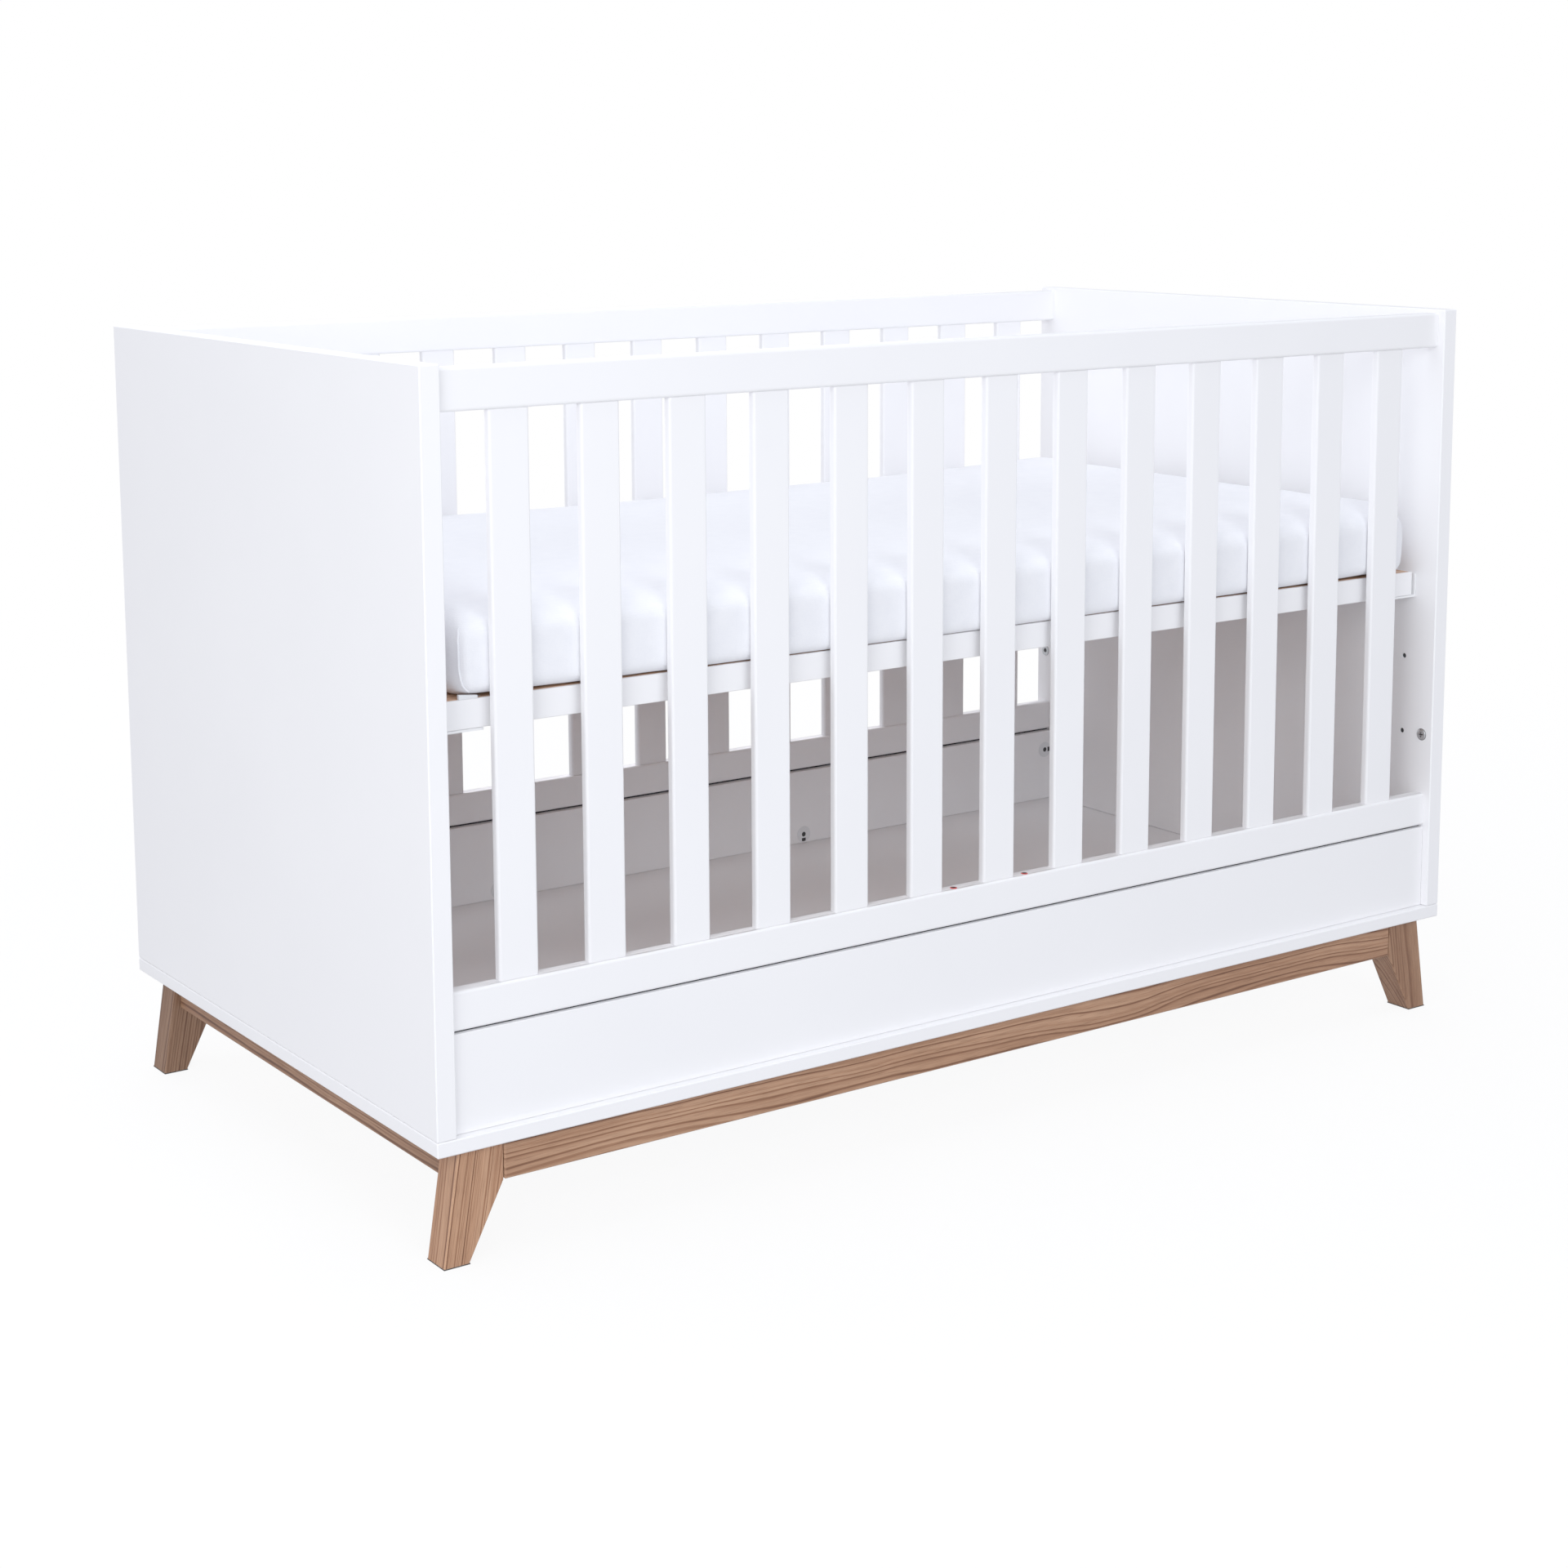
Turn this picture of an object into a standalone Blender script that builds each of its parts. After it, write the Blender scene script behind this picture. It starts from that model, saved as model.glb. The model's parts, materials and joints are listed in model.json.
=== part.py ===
"""Baby crib, 70 x 140, that stands on an ash plinth with four slanted legs.

Metres, +Z up. X runs along the crib, Y across it with the front at -Y, and the floor is at z = 0.
The origin is on the floor, under the middle of the crib.
"""

import math

import bmesh
import bpy
from mathutils import Matrix, Vector

GAP = 0.0003  # left between pieces that touch
WELD = 0.000001
SHARP_ANGLE = math.radians(35)
NEARLY_ONE = 0.999  # cosine of an edge's angle to the axis that it counts as following

# Carcass
LENGTH = 1.450
DEPTH = 0.7675
BASE_BOTTOM = 0.121
BASE_THICK = 0.016
PANEL_THICK = 0.022
PANEL_TOP = 0.9025
BOARD_EDGE = 0.0012  # eased edge of every board but the aprons
APRON_EDGE = 0.0005
ROUND_SEGMENTS = 3  # of each rounded edge

# Slatted sides, whose outer faces lie a little inside the panels' edges
SIDE_SETBACK = 0.010
RAIL_THICK = 0.018
RAIL_EDGE = 0.0035
TOP_RAIL_DROP = 0.0043  # below the panels' top edge
TOP_RAIL_HEIGHT = 0.043
BOTTOM_RAIL_HEIGHT = 0.041
APRON_THICK = 0.022
APRON_HEIGHT = 0.103
APRON_GAP = 0.0026  # shadow gap between an apron and the rail above it

# Slats
SLAT_COUNT = 13
SLAT_PITCH = 0.1036
SLAT_WIDTH = 0.045
SLAT_THICK = 0.011
SLAT_EDGE = 0.003
MORTISE_DEPTH = 0.010
LOOSE_SLATS = (6, 7)  # front slats that lift out, counted from the left
LOOSE_MORTISE_BOTTOM = 0.008
LOOSE_MORTISE_TOP = 0.022
LOOSE_TONGUE_TOP = 0.012  # how far a loose slat reaches into its deep upper mortise

# Plinth
LEG_DEPTH = 0.036
LEG_SETBACK = 0.010
LEG_TOP_OUTER = 0.6968  # half-lengths from the middle of the crib
LEG_TOP_INNER = 0.6462
LEG_FOOT_OUTER = 0.7158
LEG_FOOT_INNER = 0.6871
LEG_EDGE = 0.0015
PLINTH_HEIGHT = 0.0412
PLINTH_THICK = 0.022
PLINTH_JOINT = 0.001  # open joint between a plinth rail and a leg
PLINTH_END_OUTER = 0.693

# Mattress base
HOLE_PITCH = 0.0979  # between the three heights
HOLE_ROW = 0.334  # half-distance between the front and rear holes
HOLE_RADIUS = 0.0033
HOLE_DEPTH = 0.013
HOLE_SIDES = 16
AIR_HOLE_SIDES = 24
DECK_RAIL_END = 0.6947
DECK_RAIL_OUTER = 0.350
DECK_RAIL_THICK = 0.020
DECK_RAIL_BOTTOM = 0.5395
DECK_RAIL_HEIGHT = 0.0295
DECK_LIP = 0.004
DECK_BOARD_THICK = 0.008
DECK_HOLE_RADIUS = 0.018
DECK_HOLE_PITCH = 0.130
DECK_HOLE_COLUMNS = 10
DECK_HOLE_ROWS = (-0.20, 0.0, 0.20)
BATTEN_WIDTH = 0.040
BATTEN_HEIGHT = 0.018
BATTEN_MIDDLES = {"left": -0.39, "middle": 0.0, "right": 0.39}
ANGLE_THICK = 0.0025
ANGLE_REACH = 0.0573
ANGLE_RISE = 0.030
ANGLE_HOLE_RADIUS = 0.0033
BOLT_Z = 0.5557
BOLT_SHANK_RADIUS = 0.0029
BOLT_HEAD_RADIUS = 0.0065
BOLT_HEAD_THICK = 0.0035
BOLT_SHOULDER = (0.45, 0.94)  # of the head's thickness and radius, where its dome begins
BOLT_CROWN = 0.62  # of the head's radius
BOLT_SOCKET_RADIUS = 0.0023
BOLT_SOCKET_DEPTH = 0.0022
BOLT_SIDES = 24

# Mattress
MATTRESS_LENGTH = 1.368
MATTRESS_WIDTH = 0.703
MATTRESS_TOP = 0.6600
MATTRESS_CORNER = 0.024
MATTRESS_ROUND = 0.018

# Places that follow from the sizes above
BASE_TOP = BASE_BOTTOM + BASE_THICK
PANEL_INNER = LENGTH / 2 - PANEL_THICK
SIDE_OUTER = DEPTH / 2 - SIDE_SETBACK
SIDE_MIDDLE = SIDE_OUTER - RAIL_THICK / 2
APRON_BOTTOM = BASE_TOP + GAP
BOTTOM_RAIL_BOTTOM = APRON_BOTTOM + APRON_HEIGHT + APRON_GAP
BOTTOM_RAIL_TOP = BOTTOM_RAIL_BOTTOM + BOTTOM_RAIL_HEIGHT
TOP_RAIL_TOP = PANEL_TOP - TOP_RAIL_DROP
TOP_RAIL_BOTTOM = TOP_RAIL_TOP - TOP_RAIL_HEIGHT
LEG_OUTER = DEPTH / 2 - LEG_SETBACK
LEG_INNER = LEG_OUTER - LEG_DEPTH
DECK_RAIL_TOP = DECK_RAIL_BOTTOM + DECK_RAIL_HEIGHT
DECK_BOARD_BOTTOM = DECK_RAIL_TOP - DECK_BOARD_THICK
DECK_BOARD_HALF_SPAN = DECK_RAIL_OUTER - DECK_LIP - GAP
DECK_RAIL_INNER = DECK_RAIL_OUTER - DECK_RAIL_THICK
MATTRESS_BOTTOM = DECK_RAIL_TOP + GAP


def clear_scene():
    for old in list(bpy.data.objects):
        bpy.data.objects.remove(old, do_unlink=True)


def make_material(name, colour, roughness, metallic=0.0):
    material = bpy.data.materials.new(name)
    material.use_nodes = True
    shader = material.node_tree.nodes["Principled BSDF"]
    shader.inputs["Base Color"].default_value = (*colour, 1.0)
    shader.inputs["Roughness"].default_value = roughness
    shader.inputs["Metallic"].default_value = metallic
    return material


def make_object(name, bm, material, origin=(0.0, 0.0, 0.0), parent=None):
    """Turn a bmesh in world coordinates into an object whose origin is where it is asked for."""
    bmesh.ops.translate(bm, verts=bm.verts, vec=-Vector(origin))
    bmesh.ops.recalc_face_normals(bm, faces=bm.faces)
    mesh = bpy.data.meshes.new(name)
    bm.to_mesh(mesh)
    bm.free()
    mesh.materials.append(material)
    mesh.shade_smooth()
    mesh.set_sharp_from_angle(angle=SHARP_ANGLE)
    made = bpy.data.objects.new(name, mesh)
    bpy.context.scene.collection.objects.link(made)
    made.location = origin
    if parent is not None:
        made.location = Vector(origin) - parent.location
        made.parent = parent
    return made


def make_empty(name, location):
    empty = bpy.data.objects.new(name, None)
    empty.empty_display_size = 0.05
    empty.location = location
    bpy.context.scene.collection.objects.link(empty)
    return empty


def box_mesh(low, high):
    """A bmesh box between two corners."""
    bm = bmesh.new()
    bmesh.ops.create_cube(bm, size=1.0)
    size = Vector(high) - Vector(low)
    centre = (Vector(high) + Vector(low)) / 2
    bmesh.ops.scale(bm, vec=size, verts=bm.verts)
    bmesh.ops.translate(bm, vec=centre, verts=bm.verts)
    return bm


def ease_edges(bm, width, segments, along=None):
    """Round the edges of a bmesh: all of them, or only those that run along one axis."""
    if along is None:
        edges = list(bm.edges)
    else:
        edges = [
            edge
            for edge in bm.edges
            if abs((edge.verts[0].co - edge.verts[1].co).normalized()[along]) > NEARLY_ONE
        ]
    bmesh.ops.bevel(
        bm, geom=edges, offset=width, segments=segments, profile=0.5, affect="EDGES"
    )


def make_board(name, low, high, material, edge=BOARD_EDGE, segments=1, along=None, parent=None):
    bm = box_mesh(low, high)
    ease_edges(bm, edge, segments, along)
    centre = (Vector(high) + Vector(low)) / 2
    return make_object(name, bm, material, centre, parent)


def extrude_outline(points, axis, start, end):
    """A prism over an outline. The outline's two coordinates are the axes other than the prism's."""
    bm = bmesh.new()
    others = [i for i in range(3) if i != axis]
    ring = []
    for point in points:
        place = [0.0, 0.0, 0.0]
        place[axis] = start
        place[others[0]] = point[0]
        place[others[1]] = point[1]
        ring.append(bm.verts.new(place))
    face = bm.faces.new(ring)
    grown = bmesh.ops.extrude_face_region(bm, geom=[face])
    moved = [part for part in grown["geom"] if isinstance(part, bmesh.types.BMVert)]
    offset = [0.0, 0.0, 0.0]
    offset[axis] = end - start
    bmesh.ops.translate(bm, verts=moved, vec=offset)
    bmesh.ops.recalc_face_normals(bm, faces=bm.faces)
    return bm


def add_cylinder_x(bm, radius, x_start, x_end, y, z, sides):
    """A closed cylinder along X, added to a bmesh."""
    made = bmesh.ops.create_cone(
        bm, cap_ends=True, segments=sides, radius1=radius, radius2=radius, depth=1.0
    )
    for vert in made["verts"]:
        across, up, run = vert.co.x, vert.co.y, vert.co.z + 0.5
        vert.co = (x_start + (x_end - x_start) * run, y + across, z + up)
    faces = {face for vert in made["verts"] for face in vert.link_faces}
    bmesh.ops.recalc_face_normals(bm, faces=list(faces))


def cut(target, name, cutter_bm):
    """Cut a cutter's shape out of an object, and keep the cutter as a hidden guide."""
    bmesh.ops.recalc_face_normals(cutter_bm, faces=cutter_bm.faces)
    mesh = bpy.data.meshes.new(name)
    cutter_bm.to_mesh(mesh)
    cutter_bm.free()
    cutter = bpy.data.objects.new(name, mesh)
    cutter.hide_render = True
    cutter.display_type = "WIRE"
    bpy.context.scene.collection.objects.link(cutter)
    modifier = target.modifiers.new(name, "BOOLEAN")
    modifier.operation = "DIFFERENCE"
    modifier.object = cutter


def slat_middle(number):
    """The X of a slat's middle, for slats counted from 1 at the left."""
    return (number - (SLAT_COUNT + 1) / 2) * SLAT_PITCH


def is_loose(side, number):
    return side == "front" and number in LOOSE_SLATS


def build_carcass(paint):
    half = LENGTH / 2
    make_board(
        "base_board",
        (-half, -DEPTH / 2, BASE_BOTTOM),
        (half, DEPTH / 2, BASE_TOP),
        paint,
    )
    for name, sign in (("left_end_panel", -1), ("right_end_panel", 1)):
        edges = sorted((sign * PANEL_INNER, sign * half))
        panel = make_board(
            name,
            (edges[0], -DEPTH / 2, BASE_TOP + GAP),
            (edges[1], DEPTH / 2, PANEL_TOP),
            paint,
        )
        holes = bmesh.new()
        for level in range(3):
            z = BOLT_Z - level * HOLE_PITCH
            for y in (-HOLE_ROW, HOLE_ROW):
                inner = sign * (PANEL_INNER - HOLE_DEPTH)
                outer = sign * (PANEL_INNER + HOLE_DEPTH)
                add_cylinder_x(holes, HOLE_RADIUS, inner, outer, y, z, HOLE_SIDES)
        cut(panel, name + "_holes", holes)
    for side, sign in (("front", -1), ("rear", 1)):
        across = sorted((sign * SIDE_OUTER, sign * (SIDE_OUTER - APRON_THICK)))
        make_board(
            side + "_apron",
            (-PANEL_INNER + GAP, across[0], APRON_BOTTOM),
            (PANEL_INNER - GAP, across[1], APRON_BOTTOM + APRON_HEIGHT),
            paint,
            APRON_EDGE,
        )


def mortises(side, face_z, loose_depth):
    """A cutter for one rail's row of mortises, which open at face_z."""
    cutter = bmesh.new()
    y = -SIDE_MIDDLE if side == "front" else SIDE_MIDDLE
    wide = SLAT_WIDTH / 2 + GAP
    thick = SLAT_THICK / 2 + GAP
    for number in range(1, SLAT_COUNT + 1):
        depth = loose_depth if is_loose(side, number) else MORTISE_DEPTH
        x = slat_middle(number)
        pocket = box_mesh(
            (x - wide, y - thick, face_z - depth), (x + wide, y + thick, face_z + depth)
        )
        ease_edges(pocket, SLAT_EDGE + GAP, ROUND_SEGMENTS, along=2)
        mesh = bpy.data.meshes.new("pocket")
        pocket.to_mesh(mesh)
        pocket.free()
        cutter.from_mesh(mesh)
        bpy.data.meshes.remove(mesh)
    return cutter


def build_side(side, paint):
    sign = -1 if side == "front" else 1
    across = sorted((sign * SIDE_OUTER, sign * (SIDE_OUTER - RAIL_THICK)))
    end = PANEL_INNER - GAP
    top = make_board(
        side + "_top_rail",
        (-end, across[0], TOP_RAIL_BOTTOM),
        (end, across[1], TOP_RAIL_TOP),
        paint,
        RAIL_EDGE,
        ROUND_SEGMENTS,
        along=0,
    )
    bottom = make_board(
        side + "_bottom_rail",
        (-end, across[0], BOTTOM_RAIL_BOTTOM),
        (end, across[1], BOTTOM_RAIL_TOP),
        paint,
        RAIL_EDGE,
        ROUND_SEGMENTS,
        along=0,
    )
    cut(top, side + "_top_mortises", mortises(side, TOP_RAIL_BOTTOM, LOOSE_MORTISE_TOP))
    cut(bottom, side + "_bottom_mortises", mortises(side, BOTTOM_RAIL_TOP, LOOSE_MORTISE_BOTTOM))
    for number in range(1, SLAT_COUNT + 1):
        low = BOTTOM_RAIL_TOP - MORTISE_DEPTH + GAP
        high = TOP_RAIL_BOTTOM + MORTISE_DEPTH - GAP
        if is_loose(side, number):
            low = BOTTOM_RAIL_TOP - LOOSE_MORTISE_BOTTOM + GAP
            high = TOP_RAIL_BOTTOM + LOOSE_TONGUE_TOP
        x = slat_middle(number)
        y = sign * SIDE_MIDDLE
        make_board(
            f"{side}_slat_{number:02d}",
            (x - SLAT_WIDTH / 2, y - SLAT_THICK / 2, low),
            (x + SLAT_WIDTH / 2, y + SLAT_THICK / 2, high),
            paint,
            SLAT_EDGE,
            ROUND_SEGMENTS,
            along=2,
        )


def build_plinth(wood):
    top = BASE_BOTTOM - GAP
    for end, x_sign in (("left", -1), ("right", 1)):
        outline = [
            (x_sign * LEG_TOP_OUTER, top),
            (x_sign * LEG_FOOT_OUTER, 0.0),
            (x_sign * LEG_FOOT_INNER, 0.0),
            (x_sign * LEG_TOP_INNER, top - PLINTH_HEIGHT),
            (x_sign * LEG_TOP_INNER, top),
        ]
        for side, y_sign in (("front", -1), ("rear", 1)):
            bm = extrude_outline(outline, 1, y_sign * LEG_OUTER, y_sign * LEG_INNER)
            ease_edges(bm, LEG_EDGE, 2)
            foot = (x_sign * (LEG_FOOT_OUTER + LEG_FOOT_INNER) / 2, y_sign * LEG_OUTER, 0.0)
            make_object(f"{side}_{end}_leg", bm, wood, foot)
    for side, sign in (("front", -1), ("rear", 1)):
        across = sorted((sign * LEG_OUTER, sign * (LEG_OUTER - PLINTH_THICK)))
        end = LEG_TOP_INNER - PLINTH_JOINT
        make_board(
            side + "_plinth_rail",
            (-end, across[0], top - PLINTH_HEIGHT),
            (end, across[1], top),
            wood,
        )
    for side, sign in (("left", -1), ("right", 1)):
        along = sorted((sign * PLINTH_END_OUTER, sign * (PLINTH_END_OUTER - PLINTH_THICK)))
        end = LEG_INNER - PLINTH_JOINT
        make_board(
            side + "_plinth_rail",
            (along[0], -end, top - PLINTH_HEIGHT),
            (along[1], end, top),
            wood,
        )


def build_deck_rails(paint, deck):
    """Rails of an L-shaped section, whose rebate holds the deck board flush with their tops."""
    for side, sign in (("front", -1), ("rear", 1)):
        outer = DECK_RAIL_OUTER
        lip = DECK_RAIL_OUTER - DECK_LIP
        inner = DECK_RAIL_INNER
        rebate = DECK_BOARD_BOTTOM - GAP
        outline = [
            (sign * outer, DECK_RAIL_BOTTOM),
            (sign * outer, DECK_RAIL_TOP),
            (sign * lip, DECK_RAIL_TOP),
            (sign * lip, rebate),
            (sign * inner, rebate),
            (sign * inner, DECK_RAIL_BOTTOM),
        ]
        bm = extrude_outline(outline, 0, -DECK_RAIL_END, DECK_RAIL_END)
        ease_edges(bm, BOARD_EDGE / 2, 1, along=0)
        make_object(f"deck_rail_{side}", bm, paint, (0.0, sign * outer, DECK_RAIL_BOTTOM), deck)


def build_deck_board(birch, deck):
    """The board under the mattress, with rows of air holes between the cross battens."""
    board = make_board(
        "deck_board",
        (-DECK_RAIL_END, -DECK_BOARD_HALF_SPAN, DECK_BOARD_BOTTOM),
        (DECK_RAIL_END, DECK_BOARD_HALF_SPAN, DECK_RAIL_TOP),
        birch,
        edge=BOARD_EDGE / 2,
        parent=deck,
    )
    holes = bmesh.new()
    for column in range(DECK_HOLE_COLUMNS):
        x = (column - (DECK_HOLE_COLUMNS - 1) / 2) * DECK_HOLE_PITCH
        for y in DECK_HOLE_ROWS:
            add_air_hole(holes, x, y)
    cut(board, "deck_board_holes", holes)
    for place, x in BATTEN_MIDDLES.items():
        top = DECK_BOARD_BOTTOM - GAP
        make_board(
            f"deck_batten_{place}",
            (x - BATTEN_WIDTH / 2, GAP - DECK_RAIL_INNER, top - BATTEN_HEIGHT),
            (x + BATTEN_WIDTH / 2, DECK_RAIL_INNER - GAP, top),
            birch,
            parent=deck,
        )


def add_air_hole(bm, x, y):
    """A cylinder along Z that runs past both faces of the deck board."""
    middle = DECK_RAIL_TOP - DECK_BOARD_THICK / 2
    bmesh.ops.create_cone(
        bm,
        cap_ends=True,
        segments=AIR_HOLE_SIDES,
        radius1=DECK_HOLE_RADIUS,
        radius2=DECK_HOLE_RADIUS,
        depth=DECK_BOARD_THICK * 2,
        matrix=Matrix.Translation((x, y, middle)),
    )


def build_deck_angles(white_steel, steel, deck):
    """White steel angles under the rail ends, each with two bolts into the panel's holes."""
    top = DECK_RAIL_BOTTOM - GAP
    bottom = top - ANGLE_THICK
    for side, sign in (("left", -1), ("right", 1)):
        wall = PANEL_INNER - GAP
        flange = wall - ANGLE_THICK
        outline = [
            (sign * wall, bottom),
            (sign * wall, bottom + ANGLE_RISE),
            (sign * flange, bottom + ANGLE_RISE),
            (sign * flange, top),
            (sign * (wall - ANGLE_REACH), top),
            (sign * (wall - ANGLE_REACH), bottom),
        ]
        bm = extrude_outline(outline, 1, -DECK_RAIL_OUTER, DECK_RAIL_OUTER)
        place = (sign * wall, 0.0, bottom)
        angle = make_object(f"deck_angle_{side}", bm, white_steel, place, deck)
        holes = bmesh.new()
        for end, y in (("front", -HOLE_ROW), ("rear", HOLE_ROW)):
            reach_in = sign * (flange - ANGLE_THICK)
            reach_out = sign * (wall + ANGLE_THICK)
            add_cylinder_x(holes, ANGLE_HOLE_RADIUS, reach_in, reach_out, y, BOLT_Z, HOLE_SIDES)
            build_bolt(f"deck_bolt_{side}_{end}", sign, flange, wall, y, steel, deck)
        cut(angle, f"deck_angle_{side}_holes", holes)


def build_bolt(name, sign, flange, wall, y, steel, deck):
    """A button-head bolt with a drilled socket, turned as one profile about its axis."""
    seat = flange - GAP
    head = seat - BOLT_HEAD_THICK
    profile = [
        (wall, 0.0),
        (wall, BOLT_SHANK_RADIUS),
        (seat, BOLT_SHANK_RADIUS),
        (seat, BOLT_HEAD_RADIUS),
        (seat - BOLT_HEAD_THICK * BOLT_SHOULDER[0], BOLT_HEAD_RADIUS * BOLT_SHOULDER[1]),
        (head, BOLT_HEAD_RADIUS * BOLT_CROWN),
        (head, BOLT_SOCKET_RADIUS),
        (head + BOLT_SOCKET_DEPTH, BOLT_SOCKET_RADIUS),
        (head + BOLT_SOCKET_DEPTH, 0.0),
    ]
    bm = bmesh.new()
    verts = [bm.verts.new((sign * x, y + radius, BOLT_Z)) for x, radius in profile]
    edges = [bm.edges.new(pair) for pair in zip(verts, verts[1:])]
    bmesh.ops.spin(
        bm,
        geom=verts + edges,
        cent=(0.0, y, BOLT_Z),
        axis=(1.0, 0.0, 0.0),
        angle=math.tau,
        steps=BOLT_SIDES,
        use_merge=True,
    )
    bmesh.ops.remove_doubles(bm, verts=bm.verts, dist=WELD)
    make_object(name, bm, steel, (sign * wall, y, BOLT_Z), deck)


def build_mattress(cover, lift):
    half_length = MATTRESS_LENGTH / 2
    half_width = MATTRESS_WIDTH / 2
    bm = box_mesh(
        (-half_length, -half_width, MATTRESS_BOTTOM), (half_length, half_width, MATTRESS_TOP)
    )
    ease_edges(bm, MATTRESS_CORNER, ROUND_SEGMENTS, along=2)
    rims = [
        edge
        for edge in bm.edges
        if abs(edge.verts[0].co.z - edge.verts[1].co.z) < GAP
        and len({round(face.normal.z) for face in edge.link_faces}) == 2
    ]
    bmesh.ops.bevel(
        bm, geom=rims, offset=MATTRESS_ROUND, segments=2, profile=0.5, affect="EDGES"
    )
    make_object("mattress", bm, cover, (0.0, 0.0, MATTRESS_BOTTOM), lift)


def main():
    clear_scene()
    white_paint = make_material("white_paint", (0.87, 0.88, 0.90), 0.42)
    ash = make_material("ash_wood", (0.42, 0.26, 0.16), 0.50)
    birch = make_material("birch_ply", (0.62, 0.44, 0.29), 0.55)
    white_steel = make_material("white_steel", (0.86, 0.87, 0.89), 0.45)
    steel = make_material("zinc_steel", (0.60, 0.61, 0.62), 0.35, 1.0)
    cover = make_material("mattress_cover", (0.88, 0.89, 0.92), 0.90)
    build_carcass(white_paint)
    build_side("front", white_paint)
    build_side("rear", white_paint)
    build_plinth(ash)
    deck = make_empty("mattress_base_slide", (0.0, 0.0, DECK_RAIL_BOTTOM))
    build_deck_rails(white_paint, deck)
    build_deck_board(birch, deck)
    build_deck_angles(white_steel, steel, deck)
    build_mattress(cover, make_empty("mattress_lift", (0.0, 0.0, MATTRESS_BOTTOM)))


main()
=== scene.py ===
"""The looks of a white baby crib on an ash plinth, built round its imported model. Metres, +Z up."""

import json
import math

import bmesh
import bpy
from mathutils import Euler, Matrix, Vector, noise
from mathutils.bvhtree import BVHTree


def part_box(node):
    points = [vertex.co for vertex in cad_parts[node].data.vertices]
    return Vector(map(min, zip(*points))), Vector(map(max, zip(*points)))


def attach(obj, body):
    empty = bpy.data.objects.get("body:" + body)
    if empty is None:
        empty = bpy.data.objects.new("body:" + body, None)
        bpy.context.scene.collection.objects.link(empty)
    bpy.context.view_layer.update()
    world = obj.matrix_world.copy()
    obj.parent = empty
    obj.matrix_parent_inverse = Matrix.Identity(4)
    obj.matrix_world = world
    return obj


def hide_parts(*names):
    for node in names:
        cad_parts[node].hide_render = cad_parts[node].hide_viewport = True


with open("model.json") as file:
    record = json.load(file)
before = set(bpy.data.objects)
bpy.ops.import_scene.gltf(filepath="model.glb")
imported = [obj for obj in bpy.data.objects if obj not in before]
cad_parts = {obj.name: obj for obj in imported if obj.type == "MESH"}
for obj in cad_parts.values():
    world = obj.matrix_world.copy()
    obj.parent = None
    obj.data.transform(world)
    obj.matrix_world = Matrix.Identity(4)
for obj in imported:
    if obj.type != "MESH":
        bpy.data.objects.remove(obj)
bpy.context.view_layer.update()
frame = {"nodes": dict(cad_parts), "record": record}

SHARP_ANGLE = math.radians(35)
WELD = 0.00001

# ---------------------------------------------------------------- camera, light and floor

CAMERA_PLACE = (-1.8947, -2.6362, 1.0958)
CAMERA_HEADING = 0.61441  # from +Y towards +X, radians
CAMERA_TILT = -0.1458
CAMERA_ROLL = -0.00435
CAMERA_LENS = 61.45
CAMERA_SHIFT_Y = -0.15

FLOOR_SIZE = 24.0
FLOOR_SOLID_RADIUS = 1.2
FLOOR_FADE_RADIUS = 3.2

WARMER = (0.965, 0.99, 1.025)
COOL = (0.925, 0.985, 1.055)
ROSE = (0.99, 0.97, 1.06)
SKY_TINT = (0.968, 0.98, 1.047, 1.0)
# name, place, size, watts, tint
SOFTBOXES = (
    ("key_softbox", (-0.6, -4.2, 2.2), (2.4, 2.0), 50.0, COOL),
    ("camera_softbox", (-3.0, -2.6, 1.7), (1.6, 1.6), 19.0, WARMER),
    ("near_left_softbox", (-2.5, -1.9, 1.3), (1.2, 1.2), 13.0, WARMER),
    ("left_softbox", (-5.2, -0.6, 1.8), (3.6, 3.0), 30.0, WARMER),
    ("right_softbox", (5.2, 0.0, 1.8), (3.6, 3.0), 60.0, COOL),
    ("rear_softbox", (1.3, 5.0, 1.6), (5.0, 3.0), 120.0, ROSE),
    ("top_softbox", (-1.4, 0.3, 4.6), (4.0, 3.4), 74.0, COOL),
)
SOFTBOX_TARGET = Vector((0.0, 0.0, 0.55))
SKY_LIGHT = 0.50
FLOOR_TONE = (0.93, 0.93, 0.93, 1.0)
FLOOR_CLEAR = 0.88  # how much of the backdrop the floor lets through near the crib
SOFT_CONTRAST = 1.28


def make_camera():
    data = bpy.data.cameras.new("camera")
    data.lens = CAMERA_LENS
    data.shift_y = CAMERA_SHIFT_Y
    camera = bpy.data.objects.new("camera", data)
    turn = (
        Matrix.Rotation(-CAMERA_HEADING, 4, "Z")
        @ Matrix.Rotation(math.pi / 2 + CAMERA_TILT, 4, "X")
        @ Matrix.Rotation(CAMERA_ROLL, 4, "Z")
    )
    camera.matrix_world = Matrix.Translation(CAMERA_PLACE) @ turn
    bpy.context.scene.collection.objects.link(camera)
    bpy.context.scene.camera = camera


def make_lights():
    for name, place, size, watts, tint in SOFTBOXES:
        data = bpy.data.lights.new(name, "AREA")
        data.shape = "RECTANGLE"
        data.size, data.size_y = size
        data.energy = watts
        data.color = tint
        lamp = bpy.data.objects.new(name, data)
        lamp.location = place
        away = SOFTBOX_TARGET - Vector(place)
        lamp.rotation_euler = away.to_track_quat("-Z", "Y").to_euler()
        bpy.context.scene.collection.objects.link(lamp)


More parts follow.
